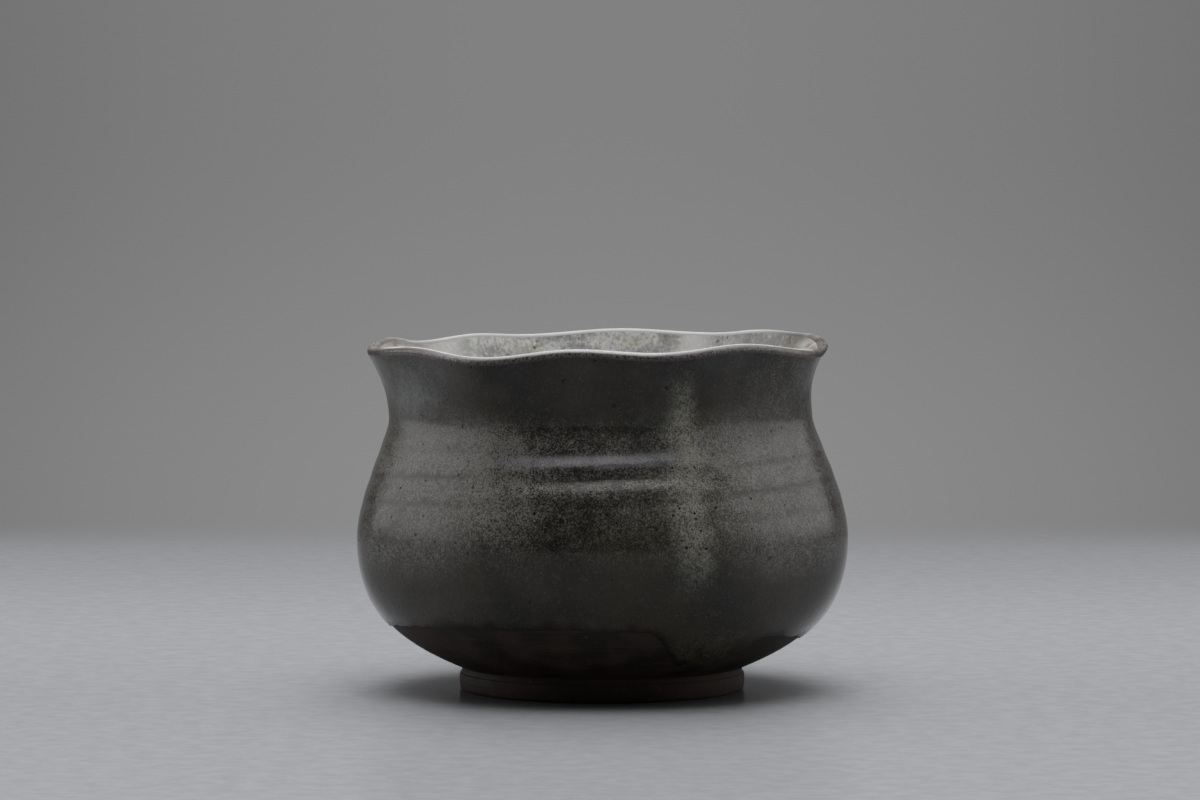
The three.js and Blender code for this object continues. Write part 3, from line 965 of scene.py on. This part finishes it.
def outer_material(form, glaze, colours):
    """Dark ash glaze: smooth and glossy, crusted with pale grains, with plum clouds and pinholes, and with
    painted highlights and shade on the ridges and sides.
    """
    material, tree, shader, place = new_material("ash_glaze")
    x, y, z = apart(place)
    azimuth = azimuth_of(x, y)
    around = (azimuth + 1.0).math("ABSOLUTE")
    clouds = noise(place, 22, 4).smooth(0.38, 0.62)
    mottle = noise(place, 4.5, 4, 0.6).smooth(0.36, 0.64)
    grain = noise(place, 0.38, 2, 0.7) * 0.75 + noise(place, 1.1, 2, 0.7) * 0.25
    salt = grain.smooth(0.4, 0.66) * 2.2
    flecks = grain.smooth(0.54, 0.66)

    # The place in a throwing ridge: 0 at its crest, and nearly 1 under the next crest
    low = (z - glaze.ridge_crest * 1000) / (glaze.ridge_pitch * 1000)
    ridge = (low - (azimuth / DEGREES - form.twist * 0.9) * 2.0 / TURN
             + mottle * 0.1 + (grain - 0.5) * 0.3).math("FRACT")
    # Painted highlight on the ridges' upper faces, where the ceiling would shine: a smooth lilac band on
    # the upper ridge, a grainy pale one on the lower
    upper_face = ridge.smooth(0.0, 0.06) * ridge.smooth(0.58, 0.42) * around.smooth(34.0, 20.0)
    ridge_highlight = upper_face * z.near(55.0, 3.6).smooth(0.0, 0.5)
    grainy_ridge_highlight = upper_face * z.near(49.5, 4.5).smooth(0.0, 0.4)
    # Painted shade: less crust, so darker stripes, under the ridges' crests on the flanks, where they face
    # down
    ridge_shade_stripes = ridge.near(0.8, 0.22) * z.near(48.0, 14.0) * around.smooth(28.0, 40.0)

    # Where pale grains crust the glaze: the shoulder, more so to the sides, and the sides of the neck
    lower = z.smooth(27.0, 46.0)
    lower = lower + around.smooth(30.0, 50.0) * (z.smooth(25.0, 36.0) - lower)
    corner = (azimuth + 25.0).near(0.0, 14.0) * z.near(46.0, 20.0)
    # The extra crust to the sides and on the neck's sides is partly painted sheen, standing in for
    # reflected light
    body = lower * z.smooth(66.0, 57.0) * (1.06 - ridge_shade_stripes * 0.75) \
        * (0.26 + z.near(54.0, 8.0) * 0.2 + around.smooth(9.0, 22.0) * 0.2 + corner * 0.5)
    neck = z.smooth(58.0, 66.0) * z.smooth(80.0, 70.0) * around.smooth(32.0, 62.0)
    clumps = 0.55 + mottle * 0.5 + clouds * 0.4
    amount = body * clumps + neck * (0.16 + mottle * 0.18) + 0.008 + mottle * 0.02
    crust = amount * (0.25 + salt * 0.75) + flecks * (0.14 + body * 0.3)

    wander = (noise(place, 12, 3) - 0.5) * 9.0
    streak = (azimuth - 21.0 + wander).math("ABSOLUTE").smooth(0.5, 7.0, 1.0, 0.0) \
        * z.smooth(22.0, 40.0) * z.smooth(76.0, 60.0)
    blue = noise(together(x, y, z * 0.8), 15, 3).smooth(0.54, 0.66) * z.smooth(40.0, 62.0)
    blue_patch = (azimuth + 66.0).near(0.0, 20.0) * z.near(66.0, 9.0)
    plum = noise(together(x + 40.0, y, z * 1.6), 12, 3).smooth(0.52, 0.64)
    sides = around.near(82.0, 17.0)
    specks = dots(place, 1.3, 0.11) * (body + 0.25)
    pits = (dots(place, 4.2, 0.28, 0.8)
            + dots(place, 2.6, 0.22, 0.4) * (body * 3 + 0.2).clamped()
            + dots(place, 2.0, 0.22) * streak * 2).clamped()
    run = z.smooth(18.0, 12.0) * (azimuth - glaze.run_azimuth * DEGREES).near(0.0, 20.0)
    edge = attribute(tree, "from_edge") * 1000.0
    rim = (edge + mottle * 1.5).smooth(0.5, 4.0, 1.0, 0.0)
    shade = layered(
        colours.ash_dark,
        (clouds, colours.ash),
        (blue * 0.06 + blue_patch * (0.35 + mottle * 0.5 + salt * 0.3), colours.ash_blue),
        (plum * 0.4, colours.plum),
        (crust, colours.ash_pale),
        (ridge_highlight * (0.33 + mottle * 0.2 + salt * 0.08), colours.ash_ridge_highlight),
        (grainy_ridge_highlight * (0.02 + salt * 0.32) * (0.2 + mottle * 0.8), scaled(colours.ash_pale, 1.6)),
        # Brownish glaze on the two sides; the extra low down is a painted reflection
        (sides * (0.45 + mottle * 0.3 + z.smooth(40.0, 28.0) * 0.4), colours.ash_brown),
        (streak * (0.18 + mottle * 0.17 + salt * 0.4), colours.ash_cream),
        (grain.smooth(0.44, 0.34) * 0.35, scaled(colours.ash_dark, 0.6)),
        (specks * 0.7, scaled(colours.ash_pale, 1.6)),
        (pits, (0.003, 0.0025, 0.002)),
        (z.smooth(17.5, 14.0) * (0.75 - mottle * 0.3), colours.clay_dark),
        (run * (0.12 + mottle * salt), colours.ochre),
        (rim * 0.8, colours.clay_dark))
    gloss = 0.1 + mottle * 0.04 + crust.clamped() * 0.05 + rim * 0.2 + z.near(62.0, 5.0) * 0.14
    surface = grain * 0.04 + noise(place, 2.4, 3) * 0.09
    shader.inputs["IOR"].default_value = 1.45
    plug(0.47 - rim * 0.27, shader.inputs["Specular IOR Level"])
    finish(shader, shade, gloss, bump((1 - pits) * 0.25, 0.9, bump(surface, 0.7)))
    return material


def inner_material(colours):
    """Pale grey glaze with brown specks, stains and a satin gloss."""
    material, tree, shader, place = new_material("pale_glaze")
    x, y, z = apart(place)
    aside = x.math("ABSOLUTE")
    clouds = noise(place, 9, 4, 0.6).smooth(0.4, 0.6)
    stains = noise(place, 6, 4, 0.65).smooth(0.55, 0.68)
    yellow = noise(together(x, y + 30.0, z), 8, 3, 0.6).smooth(0.54, 0.66)
    fine = noise(together(x, y, z * 0.75), 0.8, 3, 0.7)
    specks = dots(place, 3.0, 0.3)

    # Patches of the back wall, seen over the front of the lip
    back, high = y.smooth(-5.0, 15.0), z.smooth(52.0, 66.0)
    worn = x.near(-19.0, 9.0) * z.near(67.0, 9.0).smooth(0.0, 0.4) * back
    bright = (x.near(21.0, 8.0) * back + x.near(-36.0, 9.0)) * high
    dull = x.near(32.0, 9.0) * back * high
    # Painted shade: darker and browner near the lip at both ends
    rim = z.smooth(70.0, 77.0) * aside.smooth(34.0, 48.0)
    tips = aside.smooth(43.0, 48.5) * z.smooth(72.0, 75.5)
    shade = layered(
        colours.inside,
        (clouds, colours.inside_grey),
        (yellow * 0.55, colours.inside_yellow),
        (fine.smooth(0.5, 0.64) * 0.6, scaled(colours.inside_grey, 0.7)),
        (fine.smooth(0.46, 0.36) * 0.6, scaled(colours.inside, 1.25)),
        (worn * (0.3 + stains * 0.7), scaled(colours.inside_yellow, 0.6)),
        (bright * 0.75, scaled(colours.inside, 1.25)),
        (dull * 0.55 + rim * 0.85, scaled(colours.inside_grey, 0.45)),
        (tips * (0.5 + clouds * 0.3), scaled(colours.inside_brown, 0.7)),
        ((stains * 0.6 + rim * 0.3).clamped() * 0.85, colours.inside_brown),
        (specks * 0.75, scaled(colours.inside_brown, 0.6)))
    surface = fine * 0.05 + noise(place, 3, 2) * 0.1 - specks * 0.05
    finish(shader, shade, 0.28 + stains * 0.2 + fine * 0.1, bump(surface, 0.7))
    return material


def lip_material(colours):
    """Thin glaze over the lip, pinkish grey, which breaks to brown in two fine lines by the crest, with a
    painted highlight along the crest at the front and painted shade at the front and far side.
    """
    material, tree, shader, place = new_material("lip_glaze")
    over = attribute(tree, "over_lip")
    x, y, _ = apart(place)
    azimuth = azimuth_of(x, y)
    around = azimuth.math("ABSOLUTE")
    front, back = around.smooth(62.0, 38.0), around.smooth(100.0, 125.0)
    grain = noise(place, 0.5, 2, 0.7)
    mottle = noise(place, 3.5, 3).smooth(0.38, 0.62)
    wander = (noise(place, 2.2, 3) - 0.5) * 0.14 + (grain - 0.5) * 0.1
    first = (over + wander).near(0.46, 0.05) * noise(place, 7, 2).smooth(0.45, 0.6)
    second = (over + wander * 0.5).near(0.665, 0.035) * noise(place, 5, 2).smooth(0.4, 0.55)
    breaks = ((first * (1 - front) + second) * (1 - back)).clamped()
    below = (over + wander).smooth(0.4, 0.24)
    # Browner under the crest; the extra at the front is painted shade
    brown = below * (0.3 + front * 0.25 + grain.smooth(0.42, 0.58) * 0.5)
    ends = (azimuth.smooth(60.0, 76.0) + azimuth.smooth(-66.0, -80.0) * 0.8) * around.smooth(120.0, 96.0)
    shade = layered(
        colours.lip,
        (mottle * 0.4, scaled(colours.lip, 0.7)),
        # Painted highlight: a pale line along the crest at the front
        (front * (0.7 + grain.smooth(0.4, 0.6) * 0.3), colours.lip_highlight),
        # Painted shade: the far side of the lip darker
        (back * 0.9, scaled(colours.inside_grey, 0.5)),
        (around.smooth(112.0, 135.0) * over.smooth(0.5, 0.75), scaled(colours.inside, 0.75)),
        (brown * (1 - back), colours.lip_brown),
        (below * dots(place, 1.1, 0.16), colours.lip_break),
        # Painted shade: darker low on the outside of the lip at the front
        (over.smooth(0.22, 0.05) * front * 0.8, scaled(colours.lip_brown, 0.4)),
        (ends * (0.6 + mottle * 0.3), colours.lip_brown),
        (breaks, colours.lip_break))
    rough = 0.12 + mottle * 0.08 + breaks * 0.2 + ends * 0.45 + back * 0.3
    plug(0.5 - ends * 0.3, shader.inputs["Specular IOR Level"])
    finish(shader, shade, rough, bump(grain * 0.012 - breaks * 0.03, 0.8))
    return material


# Operators

class BowlOperator(bpy.types.Operator):
    """Common to the bowl's operators."""

    bl_options = {"REGISTER", "UNDO"}


class OBJECT_OT_bowl_wall(BowlOperator):
    """Throw and press the clay wall, and turn the foot ring"""

    bl_idname = "object.bowl_wall"
    bl_label = "Clay Wall and Foot Ring"

    def execute(self, context):
        """Makes both clay pieces."""
        scene = context.scene
        form, clay = scene.bowl_form, clay_material(scene.bowl_colours)
        throw(scene, "clay_wall", "bowl_wall", wall_section(form), form.unevenness, clay)
        throw(scene, "turned_foot", "foot_ring", foot_section(form), 0.0, clay)
        return {"FINISHED"}


class OBJECT_OT_bowl_outer_glaze(BowlOperator):
    """Dip the outside in ash glaze, down to a tilted line with one run"""

    bl_idname = "object.bowl_outer_glaze"
    bl_label = "Outer Glaze"

    def execute(self, context):
        """Makes the outer glaze."""
        form, glaze = context.scene.bowl_form, context.scene.bowl_glaze
        grow(coat_tree(form, press_tree(form)), "ash_glaze_coat", "outer_glaze", {
            "Path": line_object("outer_path", outer_path(form).points),
            "Rows": line_object("outer_rows", outer_rows(rows=256, hidden=12)),
            "Columns": COLUMNS["ash_glaze_coat"],
            "Seed": glaze.seed,
            "Material": outer_material(form, glaze, context.scene.bowl_colours),
            **{input_name(setting): getattr(glaze, setting) for setting in COAT_SETTINGS},
        })
        return {"FINISHED"}


class OBJECT_OT_bowl_inner_glaze(BowlOperator):
    """Pour the pale glaze inside"""

    bl_idname = "object.bowl_inner_glaze"
    bl_label = "Inner Glaze"

    def execute(self, context):
        """Makes the inner glaze."""
        scene = context.scene
        section = inner_section(scene.bowl_form, scene.bowl_glaze)
        throw(scene, "pale_glaze_coat", "inner_glaze", section,
              scene.bowl_glaze.unevenness, inner_material(scene.bowl_colours))
        return {"FINISHED"}


class OBJECT_OT_bowl_lip_glaze(BowlOperator):
    """Wipe the glaze thin over the lip"""

    bl_idname = "object.bowl_lip_glaze"
    bl_label = "Lip Glaze"

    def execute(self, context):
        """Makes the glaze over the lip."""
        scene = context.scene
        section = lip_section(scene.bowl_form, scene.bowl_glaze)
        throw(scene, "lip_glaze_coat", "lip_glaze", section,
              0.0, lip_material(scene.bowl_colours), lip_marks())
        return {"FINISHED"}


def background_rays(tree):
    """1 where a ray comes from the camera, and 1 where it comes by way of a mirror or glass."""
    path = tree.nodes.new("ShaderNodeLightPath")
    camera, glossy, through = (
        Field(path.outputs[f"Is {name} Ray"]) for name in ("Camera", "Glossy", "Transmission"))
    return camera, glossy.math("MAXIMUM", through)


def backdrop_shade(stage, aside, rise):
    """How bright the backdrop is in a direction: its slopes to the side and upwards from the camera."""
    floor_line, picture_top, side_squared = -0.077, -0.003, 0.0119
    high = rise.smooth(floor_line, picture_top, 1.0, stage.backdrop_top)
    beside = aside * aside * ((stage.backdrop_side - 1) / side_squared)
    return high * (1 + beside).math("MAXIMUM", stage.backdrop_side * 0.9)


def floor_material(stage):
    """A pale floor, faintly mottled, with a painted shadow round the foot and painted shade further back,
    that ends in the backdrop's tone.
    """
    material, tree, shader, place = new_material("studio_floor")
    x, y, _ = apart(place)
    end = stage.floor_end * 1000
    far = y.smooth(end - 50, end + 70)
    mottle = noise(place, 5, 4, 0.65).smooth(0.3, 0.7)
    shade = layered(
        scaled(stage.floor, 0.94),
        (mottle, scaled(stage.floor, 1.06)),
        # Painted shade: darker further back
        (y.smooth(110.0, 450.0, 0.0, 0.33), BLACK),
        # Painted contact shadow round the foot
        (from_axis(x, y).smooth(48.0, 33.0) * 0.6, BLACK))
    plug(shade, shader.inputs["Base Color"])
    shader.inputs["Roughness"].default_value = 0.8
    shader.inputs["Specular IOR Level"].default_value = 0.0
    shader.inputs["Coat Weight"].default_value = 0.22
    shader.inputs["Coat Roughness"].default_value = 0.17
    depth = (y + stage.distance * 1000).math("MAXIMUM", 1.0)
    tone = backdrop_shade(stage, x / depth, depth ** -1.0 * (-1000 * stage.camera_height))
    glow = add(tree, "ShaderNodeEmission", {"Color": tuple(stage.backdrop), "Strength": tone})
    camera, mirror = background_rays(tree)
    blend = add(
        tree, "ShaderNodeMixShader",
        {0: far * camera.math("MAXIMUM", mirror), 1: shader.outputs[0], 2: glow.outputs[0]})
    plug(blend.outputs[0], find(tree, "OUTPUT_MATERIAL").inputs[0])
    return material


def room_light(stage):
    """A world that lights by direction: long windows on both sides, a pale ceiling, a dim front.

    The backdrop's own tone stands behind the bowl, up to where the light from behind begins. The
    numbers are degrees from the front and above the floor, and for the ceiling slopes.
    """
    world = bpy.data.worlds.new("studio_room")
    world.use_nodes = True
    tree = world.node_tree
    background = find(tree, "BACKGROUND")
    x, y, z = apart(tree.nodes.new("ShaderNodeTexCoord").outputs["Generated"])
    from_front = azimuth_of(x.math("ABSOLUTE"), y)
    height = z.math("ARCSINE") * DEGREES
    behind = from_front.smooth(146.0, 152.0)
    steep = z.math("MAXIMUM", 0.05)
    aside, ahead = x.math("ABSOLUTE") / steep, (y / steep - 0.25).math("ABSOLUTE")
    ceiling = aside.smooth(0.55, 0.15) * ahead.smooth(1.15, 0.4)
    rear = from_front.smooth(121.0, 127.0)
    level = height.smooth(-6.0, 8.0) * height.smooth(42.0, 26.0)
    windows = from_front.smooth(58.0, 108.0) * (1 - rear) * level
    above = height.smooth(9.0, 14.0)
    high = height.smooth(36.0, 28.0)
    backdrop = sum(stage.backdrop) / 3
    walls = windows * stage.side_light + rear * (1 - behind) * high * stage.corner_light \
        + behind * (above * high * stage.back_light + (1 - above) * backdrop)
    light = walls + ceiling * stage.top_light + stage.dim_light
    camera, mirror = background_rays(tree)
    seen = camera.math("MAXIMUM", mirror * behind * (1 - above))
    depth = y.math("MAXIMUM", 0.01)
    tone = backdrop_shade(stage, x / depth, z / depth)
    plug(mix(seen, (1.0, 1.0, 1.0), tuple(stage.backdrop)), background.inputs["Color"])
    plug(light * (1 - seen) + seen * tone, background.inputs["Strength"])
    return world


class OBJECT_OT_bowl_stage(BowlOperator):
    """Set up the floor, the light of the room and the camera"""

    bl_idname = "object.bowl_stage"
    bl_label = "Stage"

    def execute(self, context):
        """Makes the stage."""
        stage = context.scene.bowl_stage
        mesh = bpy.data.meshes.new("studio_floor")
        reach = 6.0
        corners = [(-reach, -reach, 0), (reach, -reach, 0), (reach, reach, 0), (-reach, reach, 0)]
        mesh.from_pydata(corners, [], [(0, 1, 2, 3)])
        mesh.materials.append(floor_material(stage))
        new_object("studio_floor", mesh)
        context.scene.world = room_light(stage)
        camera_data = bpy.data.cameras.new("camera")
        camera_data.lens = stage.lens
        camera_data.sensor_width = 36
        camera_data.clip_start = 0.01
        camera = new_object("camera", camera_data)
        camera.location = (stage.camera_side, -stage.distance, stage.camera_height)
        camera.rotation_euler = (math.pi / 2 - stage.pitch, 0, 0)
        context.scene.camera = camera
        context.scene.view_settings.view_transform = "Standard"
        return {"FINISHED"}


OPERATORS = (
    OBJECT_OT_bowl_wall,
    OBJECT_OT_bowl_outer_glaze,
    OBJECT_OT_bowl_lip_glaze,
    OBJECT_OT_bowl_inner_glaze,
    OBJECT_OT_bowl_stage,
)
GROUPS = {
    "bowl_form": BowlForm,
    "bowl_glaze": BowlGlaze,
    "bowl_colours": BowlColours,
    "bowl_stage": BowlStage,
}


class VIEW3D_PT_bowl(bpy.types.Panel):
    """Lists the steps that make the bowl"""

    bl_label = "Side Dish Bowl"
    bl_space_type = "VIEW_3D"
    bl_region_type = "UI"
    bl_category = "Bowl"

    def draw(self, context):
        """Draws the operators, then the sizes and colours."""
        for operator in OPERATORS:
            self.layout.operator(operator.bl_idname)
        for name in GROUPS:
            box = self.layout.box()
            group = getattr(context.scene, name)
            for key in group.__annotations__:
                box.prop(group, key)


def register():
    """Registers the classes and hangs the property groups on the scene."""
    for name, group in GROUPS.items():
        bpy.utils.register_class(group)
        setattr(bpy.types.Scene, name, PointerProperty(type=group))
    for operator in OPERATORS:
        bpy.utils.register_class(operator)
    bpy.utils.register_class(VIEW3D_PT_bowl)


def unregister():
    """Undoes what register does."""
    bpy.utils.unregister_class(VIEW3D_PT_bowl)
    for operator in reversed(OPERATORS):
        bpy.utils.unregister_class(operator)
    for name, group in reversed(GROUPS.items()):
        delattr(bpy.types.Scene, name)
        bpy.utils.unregister_class(group)


def main():
    """Makes the bowl and its stage."""
    register()
    bpy.ops.object.bowl_wall()
    bpy.ops.object.bowl_outer_glaze()
    bpy.ops.object.bowl_lip_glaze()
    bpy.ops.object.bowl_inner_glaze()
    bpy.ops.object.bowl_stage()
    bpy.context.view_layer.update()


if __name__ == "__main__":
    main()
